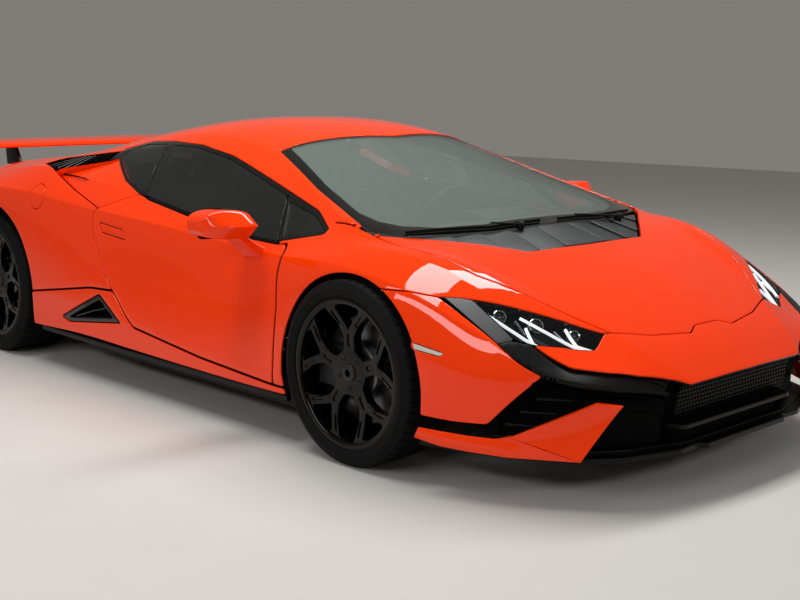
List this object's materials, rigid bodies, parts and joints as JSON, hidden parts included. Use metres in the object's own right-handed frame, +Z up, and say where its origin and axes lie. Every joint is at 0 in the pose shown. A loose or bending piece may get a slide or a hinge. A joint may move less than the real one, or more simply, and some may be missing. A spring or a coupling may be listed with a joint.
{
  "type": "two-seat mid-engined supercar",
  "caption": "Low wedge-shaped two-seat coupe with steered front wheels, opening doors, front lid, engine cover and fuel flap, and a fixed rear wing.",
  "frame": {"origin": "on the ground below the middle of the car's length, on its centre plane", "axes": "+X forward, +Y to the driver's left, +Z up"},
  "size_m": [4.566, 2.236, 1.1629],
  "materials": {
    "paint": "gloss metallic paint, clear coated",
    "black_gloss": "gloss black moulding",
    "black_matte": "textured black plastic",
    "tub": "satin black underbody coating",
    "glass": "tinted laminated glass",
    "lamp": "clear lamp cover",
    "tail": "red lamp cover",
    "tyre": "black rubber",
    "rim": "gloss black forged aluminium",
    "steel": "machined steel",
    "iron": "cast, dark",
    "pipe": "dark heat-treated steel",
    "leather": "black leather",
    "dash": "soft black moulding",
    "engine": "cast block"
  },
  "bodies": {
    "chassis": {"side_sills": "paint", "cowl_panel": "black_matte", "front_bumper": "paint", "front_fenders": "paint", "rear_bumper": "paint", "roof_frame": "paint", "rear_quarters": "paint", "tail_lamps": "tail", "headlamps": "lamp", "fixed_glass": "glass", "front_grilles": "black_gloss", "side_intakes": "black_gloss", "floor_tub": "tub", "wheel_liners": "black_matte", "engine_block": "engine", "front_splitter": "black_matte", "rear_diffuser": "black_matte", "exhaust_tips": "pipe", "rear_wing": "black_gloss", "wipers": "black_matte", "seat_left": "leather", "seat_right": "leather", "dashboard": "dash", "winglets": "paint", "suspension": "steel"},
    "door_left_body": {"door_left": "paint", "door_glass_left": "glass", "mirror_left": "paint"},
    "door_right_body": {"door_right": "paint", "door_glass_right": "glass", "mirror_right": "paint"},
    "hood_body": {"hood": "paint"},
    "engine_cover_body": {"engine_cover": "black_gloss"},
    "fuel_flap_body": {"fuel_flap": "paint"},
    "knuckle_left_body": {"knuckle_left": "iron"},
    "knuckle_right_body": {"knuckle_right": "iron"},
    "wheel_front_left": {"rim_front_left": "rim", "tyre_front_left": "tyre"},
    "wheel_front_right": {"rim_front_right": "rim", "tyre_front_right": "tyre"},
    "wheel_rear_left": {"rim_rear_left": "rim", "tyre_rear_left": "tyre"},
    "wheel_rear_right": {"rim_rear_right": "rim", "tyre_rear_right": "tyre"},
    "steering_wheel_body": {"steering_wheel": "leather"}
  },
  "joints": [
    {"name": "steer_left", "type": "hinge", "parent": "chassis", "child": "knuckle_left_body", "pos_m": [1.28, 0.79, 0.3275], "axis": [0, 0, 1], "range_deg": [-28, 28]},
    {"name": "steer_right", "type": "hinge", "parent": "chassis", "child": "knuckle_right_body", "pos_m": [1.28, -0.79, 0.3275], "axis": [0, 0, 1], "range_deg": [-28, 28]},
    {"name": "steering_wheel_turn", "type": "hinge", "parent": "chassis", "child": "steering_wheel_body", "pos_m": [0.47, 0.37, 0.69], "axis": [-0.9135, 0, 0.4067], "range_deg": [-364, 364]},
    {"name": "spin_front_left", "type": "hinge", "parent": "knuckle_left_body", "child": "wheel_front_left", "pos_m": [1.28, 0.834, 0.3275], "axis": [0, 1, 0], "continuous": true},
    {"name": "spin_front_right", "type": "hinge", "parent": "knuckle_right_body", "child": "wheel_front_right", "pos_m": [1.28, -0.834, 0.3275], "axis": [0, 1, 0], "continuous": true},
    {"name": "spin_rear_left", "type": "hinge", "parent": "chassis", "child": "wheel_rear_left", "pos_m": [-1.34, 0.812, 0.3455], "axis": [0, 1, 0], "continuous": true},
    {"name": "spin_rear_right", "type": "hinge", "parent": "chassis", "child": "wheel_rear_right", "pos_m": [-1.34, -0.812, 0.3455], "axis": [0, 1, 0], "continuous": true},
    {"name": "door_left_hinge", "type": "hinge", "parent": "chassis", "child": "door_left_body", "pos_m": [0.878, 0.952, 0.45], "axis": [0, 0, -1], "range_deg": [0, 65]},
    {"name": "door_right_hinge", "type": "hinge", "parent": "chassis", "child": "door_right_body", "pos_m": [0.878, -0.952, 0.45], "axis": [0, 0, 1], "range_deg": [0, 65]},
    {"name": "hood_hinge", "type": "hinge", "parent": "chassis", "child": "hood_body", "pos_m": [1.219, 0, 0.802], "axis": [0, -1, 0], "range_deg": [0, 50]},
    {"name": "engine_cover_hinge", "type": "hinge", "parent": "chassis", "child": "engine_cover_body", "pos_m": [-0.556, 0, 1.13], "axis": [0, 1, 0], "range_deg": [0, 45]},
    {"name": "fuel_flap_hinge", "type": "hinge", "parent": "chassis", "child": "fuel_flap_body", "pos_m": [-0.8385, -0.939, 0.793], "axis": [0, 0.311, 0.9504], "range_deg": [0, 75]}
  ],
  "couplings": [
    {"joint": "steer_right", "follows": "steer_left", "ratio": 1},
    {"joint": "steering_wheel_turn", "follows": "steer_left", "ratio": 13}
  ]
}
